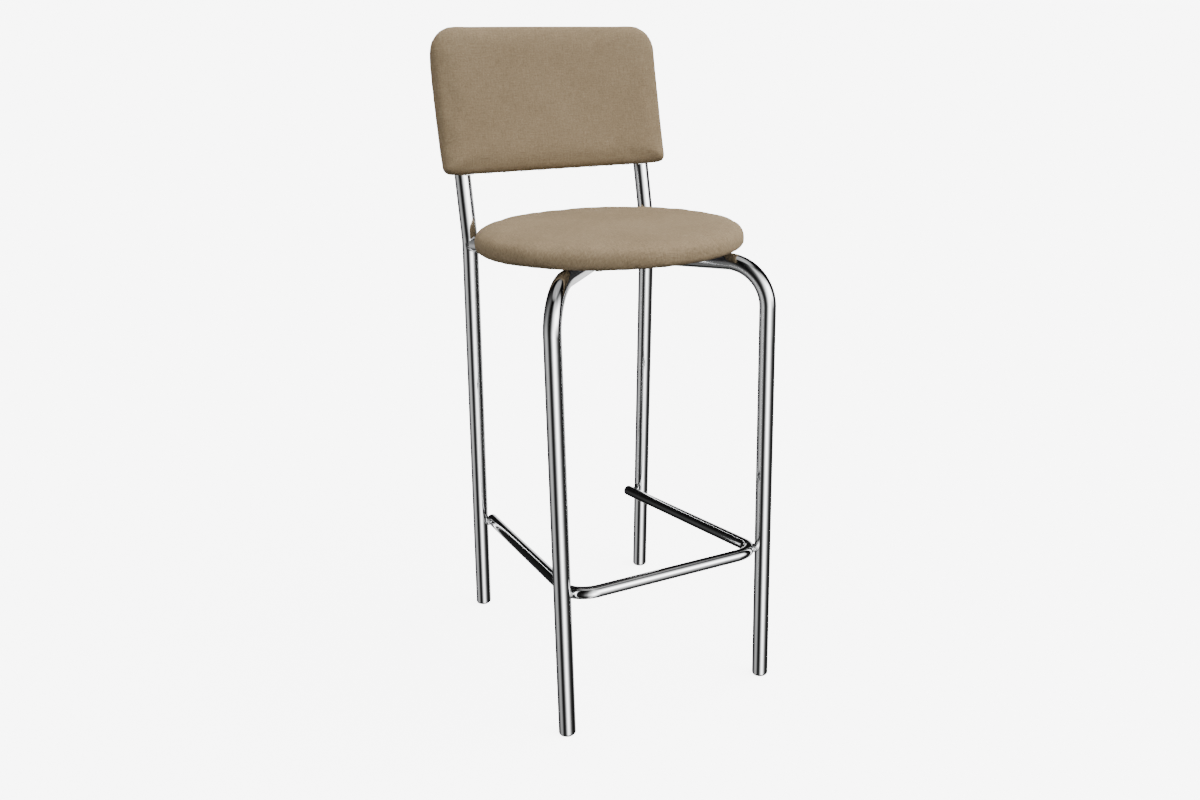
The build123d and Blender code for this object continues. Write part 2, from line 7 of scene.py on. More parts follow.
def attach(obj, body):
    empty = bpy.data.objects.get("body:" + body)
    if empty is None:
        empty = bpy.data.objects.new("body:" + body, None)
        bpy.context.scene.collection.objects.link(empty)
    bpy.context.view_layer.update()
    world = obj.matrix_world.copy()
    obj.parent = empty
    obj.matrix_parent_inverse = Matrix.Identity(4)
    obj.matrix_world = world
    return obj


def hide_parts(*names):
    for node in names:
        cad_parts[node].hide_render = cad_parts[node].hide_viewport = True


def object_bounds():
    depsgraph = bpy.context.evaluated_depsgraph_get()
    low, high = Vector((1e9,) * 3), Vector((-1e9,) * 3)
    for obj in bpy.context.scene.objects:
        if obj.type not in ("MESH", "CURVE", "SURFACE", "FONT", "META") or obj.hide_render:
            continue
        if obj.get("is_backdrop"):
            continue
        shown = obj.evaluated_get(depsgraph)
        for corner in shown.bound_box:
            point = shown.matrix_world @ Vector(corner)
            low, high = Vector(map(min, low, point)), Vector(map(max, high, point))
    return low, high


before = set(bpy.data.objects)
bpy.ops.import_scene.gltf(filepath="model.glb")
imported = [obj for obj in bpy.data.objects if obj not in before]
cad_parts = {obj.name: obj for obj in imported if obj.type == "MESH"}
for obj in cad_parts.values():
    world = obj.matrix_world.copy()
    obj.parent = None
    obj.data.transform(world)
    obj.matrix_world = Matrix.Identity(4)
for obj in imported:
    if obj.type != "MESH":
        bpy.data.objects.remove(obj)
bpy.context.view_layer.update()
MM = 0.001

# ---- sizes shared with the solid model, in millimetres ------------------------------------------

TUBE_R = 11.0
BORE_R = 9.5
FOOTREST_R = 8.0
FOOTREST_BORE_R = 6.5
FOOT_CAP_H = 3.5
FRONT_FOOT = (144.0, -197.0)
FRONT_TOP = (146.0, -199.0, 591.0)
FRONT_BEND_R = 55.0
REAR_FOOT = (134.0, 185.0)
KINK = (136.0, 144.0, 583.5)
KINK_BEND_R = 45.0
UNDER_SEAT_DROP = 11.0
BACK_LEAN = math.radians(12.1)
UPRIGHT_LENGTH = 255.0
FOOTREST_FRONT = (132.55, -205.9, 196.7)
FOOTREST_FALL = math.tan(math.radians(8.68))
FOOTREST_BEND_R = 32.0
FOOTREST_OVERHANG = 6.0
WELD_GAP = 0.3
COVER_T = 1.2
CLOTH_T = 1.0
SEAT_CENTRE_Y = -36.8
SEAT_R = 176.5
SEAT_SIDE_H = 29.0
SEAT_CROWN_H = 33.0
PANEL_HALF_W = 167.0
PANEL_BOTTOM = 91.0
PANEL_TOP = 292.0
PANEL_CORNER_R = 39.0
PANEL_LOW_CORNER_R = 7.0
PANEL_FRONT = 33.7
PANEL_BACK = -12.3
PANEL_WAIST = 11.3
PANEL_REAR_INSET = 16.0

LEAN_UP = np.array([0.0, math.sin(BACK_LEAN), math.cos(BACK_LEAN)])
LEAN_FORWARD = np.array([0.0, -math.cos(BACK_LEAN), math.sin(BACK_LEAN)])
ACROSS = np.array([1.0, 0.0, 0.0])
KINK_MIDDLE = np.array([0.0, KINK[1], KINK[2]])

SEAT_TILT = math.atan2(UNDER_SEAT_DROP, KINK[1] - FRONT_TOP[1])
SEAT_UP = np.array([0.0, math.sin(SEAT_TILT), math.cos(SEAT_TILT)])
SEAT_BACK = np.array([0.0, math.cos(SEAT_TILT), -math.sin(SEAT_TILT)])
SEAT_BASE = (
    np.array([0.0, SEAT_CENTRE_Y, FRONT_TOP[2] - (SEAT_CENTRE_Y - FRONT_TOP[1]) * math.tan(SEAT_TILT)])
    + SEAT_UP * (TUBE_R + COVER_T + CLOTH_T)
)


# ---- mesh helpers -------------------------------------------------------------------------------


def mesh_piece(name, points, faces, sharp=35.0, body="root"):
    """Mesh object from points in millimetres and faces, shaded smooth up to a crease angle."""
    mesh = bpy.data.meshes.new(name)
    mesh.from_pydata((np.asarray(points) * MM).tolist(), [], faces)
    mesh.validate()
    mesh.update()
    smooth = np.ones(len(mesh.polygons), dtype=bool)
    mesh.polygons.foreach_set("use_smooth", smooth)
    mesh.set_sharp_from_angle(angle=math.radians(sharp))
    piece = bpy.data.objects.new(name, mesh)
    bpy.context.scene.collection.objects.link(piece)
    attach(piece, body)
    return piece


def ring_faces(rings, around, start=0):
    """Quads of a grid of closed rings: point k of ring j is joined to its four neighbours."""
    j, k = np.meshgrid(np.arange(rings - 1), np.arange(around), indexing="ij")
    a = j * around + k
    b = j * around + (k + 1) % around
    return (np.stack([a, b, b + around, a + around], -1).reshape(-1, 4) + start).tolist()


def unit(v):
    """Vectors scaled to length one."""
    v = np.asarray(v, float)
    return v / np.linalg.norm(v, axis=-1, keepdims=True)


def bent_path(corners, bend_r, per_bend=40):
    """Points and directions along straight runs joined by arcs.

    At a corner that turns by angle t, the arc of radius r starts r * tan(t / 2) before the corner. Its
    point at turn a is start + r * sin(a) * d0 + r * (1 - cos(a)) * n, where d0 is the way in and n the
    inward normal of the turn.
    """
    corners = np.asarray(corners, float)
    points = [corners[0][None]]
    ways = [unit(corners[1] - corners[0])[None]]
    for k in range(1, len(corners) - 1):
        d0 = unit(corners[k] - corners[k - 1])
        d1 = unit(corners[k + 1] - corners[k])
        turn = math.acos(float(np.clip(d0 @ d1, -1, 1)))
        inward = unit(d1 - d0 * (d0 @ d1))
        start = corners[k] - d0 * bend_r * math.tan(turn / 2)
        a = np.linspace(0, turn, per_bend)[:, None]
        points.append(start + bend_r * np.sin(a) * d0 + bend_r * (1 - np.cos(a)) * inward)
        ways.append(np.cos(a) * d0 + np.sin(a) * inward)
    points.append(corners[-1][None])
    ways.append(unit(corners[-1] - corners[-2])[None])
    return np.concatenate(points), np.concatenate(ways)


def carried_frames(ways):
    """Two unit normals carried along a path with the least twist.

    The normal at each step is the last one less its part along the new direction, scaled to one.
    """
    first = np.cross(ways[0], ACROSS if abs(ways[0][0]) < 0.9 else np.array([0.0, 1.0, 0.0]))
    normals = [unit(first)]
    for way in ways[1:]:
        normals.append(unit(normals[-1] - way * (normals[-1] @ way)))
    normals = np.array(normals)
    return normals, np.cross(ways, normals)


def cope(points, ways, axis_point, axis_way, radius):
    """Points slid along their tube's direction to the near side of another round bar.

    With q the point less the bar's axis point and w and v the parts of q and of the direction across
    the bar, the slide t is the lower root of |w + t v| = radius.
    """
    q = points - axis_point
    w = q - (q @ axis_way)[:, None] * axis_way
    v = ways - (ways @ axis_way)[:, None] * axis_way
    a = (v * v).sum(-1)
    b = (w * v).sum(-1)
    c = (w * w).sum(-1) - radius**2
    t = (-b - np.sqrt(np.maximum(b * b - a * c, 0))) / a
    return points + t[:, None] * ways


def tube(name, corners, bend_r, outer, bore, cope_end=None, cope_start=None, around=72, per_bend=40):
    """Bent tube: circles of the outer and the bore radius carried along the path, joined at the ends.

    A ring's point at angle f is centre + r * (cos(f) * normal + sin(f) * binormal). A coped end's ring is
    slid along the tube to the bar that it meets.
    """
    centres, ways = bent_path(corners, bend_r, per_bend)
    normals, binormals = carried_frames(ways)
    f = np.linspace(0, 2 * math.pi, around, endpoint=False)
    walls = []
    for radius in (outer, bore):
        rings = centres[:, None] + radius * (
            np.cos(f)[None, :, None] * normals[:, None] + np.sin(f)[None, :, None] * binormals[:, None]
        )
        if cope_end:
            rings[-1] = cope(rings[-1], np.repeat(ways[-1][None], around, 0), *cope_end)
        if cope_start:
            rings[0] = cope(rings[0], np.repeat(-ways[0][None], around, 0), *cope_start)
        walls.append(rings)
    rings = np.concatenate([walls[0], walls[1][::-1], walls[0][:1]])
    count = len(rings) - 1
    faces = np.array(ring_faces(count + 1, around)) % (count * around)
    return mesh_piece(name, rings[:count].reshape(-1, 3), faces.tolist())


def turned(name, profile, origin, axis, around=48, sharp=35.0):
    """Piece turned about an axis: point (r, h) of the profile sweeps a circle of radius r at height h.

    The profile starts and ends on the axis, and runs so that the outside is on its right going up.
    """
    profile = np.asarray(profile, float)
    axis = unit(axis)
    side = unit(np.cross(axis, ACROSS if abs(axis[0]) < 0.9 else np.array([0.0, 1.0, 0.0])))
    other = np.cross(axis, side)
    f = np.linspace(0, 2 * math.pi, around, endpoint=False)
    wheel = np.cos(f)[:, None] * side + np.sin(f)[:, None] * other
    body = profile[1:-1]
    rings = origin + body[:, 0, None, None] * wheel[None] + body[:, 1, None, None] * axis
    poles = [origin + axis * profile[0, 1], origin + axis * profile[-1, 1]]
    points = np.concatenate([rings.reshape(-1, 3), poles])
    faces = ring_faces(len(body), around)
    low, high = len(points) - 2, len(points) - 1
    k = np.arange(around)
    faces += np.stack([np.full(around, low), (k + 1) % around, k], -1).tolist()
    top = (len(body) - 1) * around
    faces += np.stack([np.full(around, high), top + k, top + (k + 1) % around], -1).tolist()
    return mesh_piece(name, points, faces, sharp)


def arc(centre, radius, start, end, count):
    """Points (r, h) of an arc from one angle to another, in degrees from the outward direction."""
    a = np.radians(np.linspace(start, end, count))
    return np.stack([centre[0] + radius * np.cos(a), centre[1] + radius * np.sin(a)], -1)


# ---- materials ----------------------------------------------------------------------------------


def new_material(name, **values):
    """Material with a Principled shader, whose own sockets get the given values."""
    material = bpy.data.materials.new(name)
    material.use_nodes = True
    shader = material.node_tree.nodes["Principled BSDF"]
    for socket, value in values.items():
        shader.inputs[socket.replace("_", " ")].default_value = value
    return material, material.node_tree, shader


def node(tree, kind, inputs=None, **settings):
    """Node of a kind with its settings, and its inputs set to values or linked to outputs."""
    made = tree.nodes.new(kind)
    for key, value in settings.items():
        setattr(made, key, value)
    for key, value in (inputs or {}).items():
        socket = made.inputs[key]
        if isinstance(value, bpy.types.NodeSocket):
            tree.links.new(value, socket)
        else:
            socket.default_value = value
    return made


def sums(tree, operation, a, b=0.0, c=0.0):
    """Output of a Math node."""
    return node(tree, "ShaderNodeMath", {0: a, 1: b, 2: c}, operation=operation).outputs[0]


def mixed_colour(tree, blend, a, b, share=1.0):
    """Colour output of a Mix node that lays b over a."""
    made = node(
        tree, "ShaderNodeMix", {0: share, 6: a, 7: b}, data_type="RGBA", blend_type=blend
    )
    return made.outputs[2]


def ramp(tree, factor, stops):
    """Colour output of a Color Ramp whose stops are (position, colour or grey)."""
    made = node(tree, "ShaderNodeValToRGB", {"Fac": factor})
    elements = made.color_ramp.elements
    while len(elements) < len(stops):
        elements.new(0.5)
    for element, (position, value) in zip(elements, stops):
        element.position = position
        grey = isinstance(value, (int, float))
        element.color = (value, value, value, 1) if grey else (*value, 1)
    return made.outputs["Color"]


def object_noise(tree, scale, detail=3.0, roughness=0.5, stretch=(1, 1, 1)):
    """Noise value on Object coordinates, stretched along an axis by a smaller scale there."""
    place = node(tree, "ShaderNodeTexCoord").outputs["Object"]
    mapped = node(tree, "ShaderNodeMapping", {"Vector": place, "Scale": stretch}).outputs["Vector"]
    return node(
        tree,
        "ShaderNodeTexNoise",
        {"Vector": mapped, "Scale": scale, "Detail": detail, "Roughness": roughness},
    ).outputs["Fac"]


def bump(tree, shader, height, strength, distance):
    """Bump from a height into the shader's normal."""
    made = node(
        tree, "ShaderNodeBump", {"Height": height, "Strength": strength, "Distance": distance}
    )
    tree.links.new(made.outputs["Normal"], shader.inputs["Normal"])


def chrome_plate():
    """Bright chromium plate: fine haze, faint rub marks and the slight waviness of drawn tube."""
    material, tree, shader = new_material("bright_chrome", Metallic=1.0)
    haze = object_noise(tree, 55, 4)
    rubs = object_noise(tree, 900, 2, 0.6, (1, 1, 0.03))
    mixed = sums(tree, "MULTIPLY_ADD", rubs, 0.35, haze)
    tree.links.new(ramp(tree, mixed, [(0.45, 0.035), (0.95, 0.11)]), shader.inputs["Roughness"])
    tone = ramp(tree, haze, [(0.3, (0.80, 0.81, 0.82)), (0.7, (0.86, 0.865, 0.87))])
    tree.links.new(tone, shader.inputs["Base Color"])
    bump(tree, shader, object_noise(tree, 14, 2), 0.05, 0.0006)
    return material


def weld_metal():
    """Plated weld bead: close ripples, small pits and a duller shine than the tube."""
    material, tree, shader = new_material("plated_weld", Metallic=1.0)
    place = node(tree, "ShaderNodeTexCoord").outputs["Object"]
    ripple = node(
        tree,
        "ShaderNodeTexWave",
        {"Vector": place, "Scale": 260.0, "Distortion": 3.0, "Detail": 2.0},
        bands_direction="DIAGONAL",
    ).outputs["Fac"]
    pits = object_noise(tree, 1400, 2)
    tree.links.new(ramp(tree, pits, [(0.3, 0.14), (0.8, 0.34)]), shader.inputs["Roughness"])
    tone = ramp(tree, pits, [(0.25, (0.30, 0.30, 0.31)), (0.7, (0.55, 0.55, 0.56))])
    tree.links.new(tone, shader.inputs["Base Color"])
    bump(tree, shader, sums(tree, "MULTIPLY_ADD", pits, 0.3, ripple), 0.6, 0.0004)
    return material


def black_plastic():
    """Moulded black plastic with a fine eroded texture and a little scuffing."""
    material, tree, shader = new_material("moulded_black", Specular_IOR_Level=0.45)
    grain = object_noise(tree, 3200, 2)
    scuff = object_noise(tree, 160, 4, 0.7)
    tone = ramp(tree, scuff, [(0.35, (0.012, 0.012, 0.013)), (0.8, (0.04, 0.04, 0.042))])
    tree.links.new(tone, shader.inputs["Base Color"])
    tree.links.new(ramp(tree, scuff, [(0.3, 0.34), (0.8, 0.58)]), shader.inputs["Roughness"])
    bump(tree, shader, grain, 0.25, 0.00012)
    return material


def birch_plywood():
    """Unfinished birch plywood: long grain on the faces, and thin dark glue lines through its edge."""
    material, tree, shader = new_material("birch_plywood", Roughness=0.62)
    grain = object_noise(tree, 120, 6, 0.6, (0.08, 1, 1))
    pores = object_noise(tree, 900, 2, 0.5, (0.05, 1, 1))
    tone = ramp(
        tree,
        grain,
        [(0.3, (0.50, 0.33, 0.18)), (0.55, (0.66, 0.49, 0.31)), (0.8, (0.74, 0.60, 0.42))],
    )
    place = node(tree, "ShaderNodeTexCoord").outputs["Object"]
    plies = node(
        tree,
        "ShaderNodeTexWave",
        {"Vector": place, "Scale": 105.0, "Distortion": 0.4, "Detail": 1.0},
        bands_direction="Z",
    ).outputs["Fac"]
    lines = ramp(tree, plies, [(0.0, (0.45, 0.36, 0.28)), (0.12, (1, 1, 1))])
    shade = mixed_colour(tree, "MULTIPLY", tone, lines, 0.7)
    tree.links.new(shade, shader.inputs["Base Color"])
    bump(tree, shader, pores, 0.3, 0.0002)
    return material


def pale_foam():
    """Open-cell foam: a field of small cells, with painted shade darkening the hollow of each."""
    material, tree, shader = new_material("pale_foam", Roughness=0.9)
    place = node(tree, "ShaderNodeTexCoord").outputs["Object"]
    cells = node(tree, "ShaderNodeTexVoronoi", {"Vector": place, "Scale": 900.0}).outputs["Distance"]
    # Painted shade: the colour is darkest at each cell's middle, where the bump sinks into a hollow.
    tone = ramp(tree, cells, [(0.05, (0.45, 0.37, 0.22)), (0.4, (0.80, 0.73, 0.54))])
    tree.links.new(tone, shader.inputs["Base Color"])
    bump(tree, shader, cells, 0.8, 0.0006)
    return material


def spun_cloth():
    """Black spunbonded cloth: a grid of bonded points over matted fibres, with painted shade darkening
    the low places.
    """
    material, tree, shader = new_material("spun_cloth", Roughness=0.85)
    fibres = object_noise(tree, 1500, 5, 0.75)
    place = node(tree, "ShaderNodeTexCoord").outputs["Object"]
    points = node(
        tree, "ShaderNodeTexVoronoi", {"Vector": place, "Scale": 620.0, "Randomness": 0.15}
    ).outputs["Distance"]
    height = sums(tree, "MULTIPLY_ADD", fibres, 0.5, points)
    # Painted shade: the colour follows the bump height and is darkest where the relief is low.
    tone = ramp(tree, height, [(0.2, (0.010, 0.010, 0.011)), (0.9, (0.050, 0.050, 0.053))])
    tree.links.new(tone, shader.inputs["Base Color"])
    bump(tree, shader, height, 0.5, 0.0003)
    return material


def zinc_plate(name, low, high):
    """Zinc plate: small crystals of slightly different grey."""
    material, tree, shader = new_material(name, Metallic=1.0)
    place = node(tree, "ShaderNodeTexCoord").outputs["Object"]
    crystals = node(tree, "ShaderNodeTexVoronoi", {"Vector": place, "Scale": 700.0}).outputs["Color"]
    grey = node(tree, "ShaderNodeRGBToBW", {"Color": crystals}).outputs["Val"]
    tree.links.new(ramp(tree, grey, [(0.2, low), (0.8, high)]), shader.inputs["Base Color"])
    tree.links.new(ramp(tree, grey, [(0.2, 0.24), (0.8, 0.40)]), shader.inputs["Roughness"])
    bump(tree, shader, object_noise(tree, 1800, 2), 0.15, 0.0001)
    return material


THREAD_PITCH = 0.00095


def taupe_cloth():
    """Fine plain weave, taupe.

    The attribute "cloth" holds metres along the weft and the warp. In each square of one thread pitch
    either the warp or the weft lies on top, alternately, as on a chessboard. The height there is the
    sine across the square each way, with the lower power along the thread that is on top.
    """
    material, tree, shader = new_material(
        "taupe_cloth", Roughness=0.92, Specular_IOR_Level=0.08
    )
    cloth = node(tree, "ShaderNodeAttribute", attribute_name="cloth").outputs["Vector"]
    parts = node(tree, "ShaderNodeSeparateXYZ", {"Vector": cloth})
    weft = sums(tree, "DIVIDE", parts.outputs["X"], THREAD_PITCH)
    warp = sums(tree, "DIVIDE", parts.outputs["Y"], THREAD_PITCH)
    square = sums(tree, "ADD", sums(tree, "FLOOR", weft), sums(tree, "FLOOR", warp))
    on_top = sums(tree, "FLOORED_MODULO", square, 2.0)
    across_weft = sums(tree, "SINE", sums(tree, "MULTIPLY", sums(tree, "FRACT", weft), math.pi))
    across_warp = sums(tree, "SINE", sums(tree, "MULTIPLY", sums(tree, "FRACT", warp), math.pi))
    weft_power = sums(tree, "MULTIPLY_ADD", on_top, 0.65, 0.35)
    warp_power = sums(tree, "MULTIPLY_ADD", on_top, -0.65, 1.0)
    height = sums(
        tree,
        "MULTIPLY",
        sums(tree, "POWER", across_weft, weft_power),
        sums(tree, "POWER", across_warp, warp_power),
    )
    threads = [
        node(
            tree,
            "ShaderNodeTexNoise",
            {
                "Vector": node(
                    tree, "ShaderNodeMapping", {"Vector": cloth, "Scale": scale}
                ).outputs["Vector"],
                "Scale": 1.0,
                "Detail": 3.0,
            },
        ).outputs["Fac"]
        for scale in ((60, 1050, 1), (1050, 60, 1))
    ]
    slubs = sums(tree, "MULTIPLY", sums(tree, "ADD", threads[0], threads[1]), 0.5)
    fleck = node(
        tree, "ShaderNodeTexNoise", {"Vector": cloth, "Scale": 420.0, "Detail": 4.0, "Roughness": 0.65}
    ).outputs["Fac"]
    drift = node(
        tree, "ShaderNodeTexNoise", {"Vector": cloth, "Scale": 9.0, "Detail": 2.0}
    ).outputs["Fac"]
    mottle = sums(
        tree,
        "ADD",
        sums(tree, "MULTIPLY", slubs, 0.45),
        sums(tree, "ADD", sums(tree, "MULTIPLY", fleck, 0.4), sums(tree, "MULTIPLY", drift, 0.15)),
    )
    tone = ramp(
        tree,
        mottle,
        [
            (0.36, (0.178, 0.130, 0.076)),
            (0.50, (0.252, 0.190, 0.117)),
            (0.64, (0.335, 0.262, 0.170)),
        ],
    )
    # Painted shade: the tone is darkened down to 0.62 where the weave is low, between the threads.
    painted_weave_shade = ramp(tree, height, [(0.0, 0.62), (0.6, 1.0)])
    shade = mixed_colour(tree, "MULTIPLY", tone, painted_weave_shade)
    tree.links.new(shade, shader.inputs["Base Color"])
    relief = sums(tree, "MULTIPLY_ADD", fleck, 0.35, height)
    bump(tree, shader, relief, 0.45, 0.00022)
    return material


CHROME = chrome_plate()
WELD = weld_metal()
BLACK = black_plastic()
PLYWOOD = birch_plywood()
FOAM = pale_foam()
SPUN = spun_cloth()
ZINC = zinc_plate("zinc_plate", (0.50, 0.50, 0.46), (0.70, 0.70, 0.68))
WIRE = zinc_plate("galvanised_wire", (0.55, 0.55, 0.55), (0.74, 0.74, 0.75))
TAUPE = taupe_cloth()

NODE_FINISH = {
    "seat_board": PLYWOOD,
    "back_board": PLYWOOD,
    "seat_foam": FOAM,
    "back_foam": FOAM,
    "back_infill": FOAM,
    "seat_dust_cloth": SPUN,
    "seat_tee_nuts": ZINC,
    "back_tee_nuts": ZINC,
    "seat_screws": ZINC,
    "back_screws": ZINC,
    "seat_washers": CHROME,
    "seat_staples": WIRE,
    "back_staples": WIRE,
    "footrest_welds": WELD,
    "frame_welds": WELD,
}


def finish_with(piece, material):
    """The piece wears one material."""
    piece.data.materials.clear()
    piece.data.materials.append(material)


for name, cad_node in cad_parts.items():
    finish_with(cad_node, NODE_FINISH.get(name, BLACK))


# ---- frame tubes --------------------------------------------------------------------------------


def front_leg_point(side, z):
    """Point on a front leg's axis: its foot and its top, mixed by z over the top's height."""
    share = z / FRONT_TOP[2]
    x = FRONT_FOOT[0] + (FRONT_TOP[0] - FRONT_FOOT[0]) * share
    y = FRONT_FOOT[1] + (FRONT_TOP[1] - FRONT_FOOT[1]) * share
    return np.array([side * x, y, z])


def rear_leg_point(side, z):
    """Point on a rear leg's axis: its foot and its kink, mixed by z over the kink's height."""
    share = z / KINK[2]
    x = REAR_FOOT[0] + (KINK[0] - REAR_FOOT[0]) * share
    y = REAR_FOOT[1] + (KINK[1] - REAR_FOOT[1]) * share
    return np.array([side * x, y, z])


def under_seat_point(side, share):
    """Point on a crossed tube's axis, from this side's front leg to the opposite rear leg."""
    start = front_leg_point(side, FRONT_TOP[2])
    end = np.array([-side * KINK[0], KINK[1], FRONT_TOP[2] - UNDER_SEAT_DROP])
    return start + (end - start) * share


def rear_corners(side):
    """Corners of a rear leg and its upright."""
    kink = np.array([side * KINK[0], KINK[1], KINK[2]])
    return [rear_leg_point(side, FOOT_CAP_H), kink, kink + LEAN_UP * UPRIGHT_LENGTH]


def rear_leg_bar(side):
    """Axis point, direction and radius of a rear leg just below its kink."""
    kink = np.array([side * KINK[0], KINK[1], KINK[2]])
    return kink, unit(kink - rear_leg_point(side, 0)), TUBE_R + 0.1


CROSS_SHARE = FRONT_TOP[0] / (FRONT_TOP[0] + KINK[0])
THROUGH_WAY = unit(under_seat_point(-1, 1) - under_seat_point(-1, 0))
THROUGH_BAR = (under_seat_point(-1, CROSS_SHARE), THROUGH_WAY, TUBE_R + 0.1)
SIDES = (("left", -1), ("right", 1))


def chrome_tube(name, stands_for, *args, **kwargs):
    """Chromed tube that stands for a node of the solid model."""
    piece = tube(name, *args, **kwargs)
    finish_with(piece, CHROME)
    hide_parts(stands_for)
    return piece


for label, side in SIDES:
    chrome_tube(
        f"rear_leg_{label}_tube", f"rear_leg_{label}", rear_corners(side), KINK_BEND_R, TUBE_R, BORE_R,
        per_bend=16,
    )

chrome_tube(
    "front_leg_left_tube",
    "front_leg_left",
    [front_leg_point(-1, FOOT_CAP_H), front_leg_point(-1, FRONT_TOP[2]), under_seat_point(-1, 0.97)],
    FRONT_BEND_R,
    TUBE_R,
    BORE_R,
    cope_end=rear_leg_bar(1),
)
chrome_tube(
    "front_leg_right_tube",
    "front_leg_right",
    [
        front_leg_point(1, FOOT_CAP_H),
        front_leg_point(1, FRONT_TOP[2]),
        under_seat_point(1, CROSS_SHARE - 0.04),
    ],
    FRONT_BEND_R,
    TUBE_R,
    BORE_R,
    cope_end=THROUGH_BAR,
)
chrome_tube(
    "seat_cross_stub_tube",
    "seat_cross_stub",
    [under_seat_point(1, CROSS_SHARE + 0.04), under_seat_point(1, 0.97)],
    1.0,
    TUBE_R,
    BORE_R,
    cope_end=rear_leg_bar(-1),
    cope_start=THROUGH_BAR,
)


def footrest_height(y):
    """Height of the footrest's axis at depth y: it falls evenly to the rear."""
    return FOOTREST_FRONT[2] - (y - FOOTREST_FRONT[1]) * FOOTREST_FALL


REAR_LEG_LEAN = (KINK[1] - REAR_FOOT[1]) / KINK[2]
REAR_CONTACT_LEG = rear_leg_point(1, footrest_height(REAR_FOOT[1]) / (1 + REAR_LEG_LEAN * FOOTREST_FALL))
FOOTREST_REAR_X = REAR_CONTACT_LEG[0] - TUBE_R - FOOTREST_R - WELD_GAP
FOOTREST_TAPER = (FOOTREST_REAR_X - FOOTREST_FRONT[0]) / (REAR_CONTACT_LEG[1] - FOOTREST_FRONT[1])
FOOTREST_END_X = FOOTREST_REAR_X + FOOTREST_TAPER * FOOTREST_OVERHANG
FOOTREST_END_Y = REAR_CONTACT_LEG[1] + FOOTREST_OVERHANG
FOOTREST_END_Z = footrest_height(FOOTREST_END_Y)

footrest_corners = [
    (-FOOTREST_END_X, FOOTREST_END_Y, FOOTREST_END_Z),
    (-FOOTREST_FRONT[0], FOOTREST_FRONT[1], FOOTREST_FRONT[2]),
    (FOOTREST_FRONT[0], FOOTREST_FRONT[1], FOOTREST_FRONT[2]),
    (FOOTREST_END_X, FOOTREST_END_Y, FOOTREST_END_Z),
]
chrome_tube(
    "footrest_tube", "footrest_bar", footrest_corners, FOOTREST_BEND_R, FOOTREST_R, FOOTREST_BORE_R,
    around=64,
)

# ---- end caps -----------------------------------------------------------------------------------


def black_cap(name, stands_for, profile, origin, axis):
    """Turned black plastic piece that stands for a node."""
    piece = turned(name, profile, origin, axis)
    finish_with(piece, BLACK)
    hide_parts(stands_for)
    return piece


for label, side in SIDES:
    for row, point_at in (("front", front_leg_point), ("rear", rear_leg_point)):
        low = point_at(side, 0.0)
        top = point_at(side, FOOT_CAP_H)
        profile = np.concatenate(
            [
                [(0, 0.12)],
                [(TUBE_R - 3.0, 0.12)],
                arc((TUBE_R - 2.7, 2.8), 2.65, -80, 0, 10),
                [(TUBE_R, FOOT_CAP_H - 0.15), (BORE_R - 0.1, FOOT_CAP_H - 0.1)],
                [(BORE_R - 0.1, FOOT_CAP_H + 20.0), (0, FOOT_CAP_H + 20.0)],
            ]
        )
        black_cap(f"foot_cap_{row}_{label}_skin", f"foot_cap_{row}_{label}", profile, low, top - low)

    corner = np.array([side * FOOTREST_FRONT[0], FOOTREST_FRONT[1], FOOTREST_FRONT[2]])
    end = np.array([side * FOOTREST_END_X, FOOTREST_END_Y, FOOTREST_END_Z])
    profile = np.concatenate(
        [
            [(0, -12.0), (FOOTREST_BORE_R - 0.1, -12.0), (FOOTREST_BORE_R - 0.1, 0.05)],
            [(FOOTREST_R, 0.05)],
            arc((FOOTREST_R - 2.1, 0.3), 2.1, 0, 82, 9),
            [(0, 2.4)],
        ]
    )
    black_cap(f"footrest_end_cap_{label}_skin", f"footrest_end_cap_{label}", profile, end, end - corner)

# ---- padded seat and back -----------------------------------------------------------------------

VOXEL = 5.0  # side of the quads of a padded piece
PRESSURE = 4.0  # of the padding on its cover
SIM_FRAMES = 20
SWELL = 1.6  # the covers start this much smaller than they end


def points_of(mesh):
    """Array of a mesh's points, in millimetres."""
    flat = np.zeros(len(mesh.vertices) * 3)
    mesh.vertices.foreach_get("co", flat)
    return flat.reshape(-1, 3) / MM


def set_points(mesh, points):
    """A mesh's points, from an array in millimetres."""
    mesh.vertices.foreach_set("co", (points * MM).astype(np.float64).ravel())
    mesh.update()


def applied(piece):
    """The piece with its modifiers made part of its mesh."""
    graph = bpy.context.evaluated_depsgraph_get()
    mesh = bpy.data.meshes.new_from_object(piece.evaluated_get(graph))
    piece.modifiers.clear()
    piece.data = mesh
    return piece


def remeshed(piece):
    """The piece's mesh made again as even quads of one voxel."""
    remesh = piece.modifiers.new("even", "REMESH")
    remesh.mode = "VOXEL"
    remesh.voxel_size = VOXEL * MM
    remesh.use_smooth_shade = True
    return applied(piece)


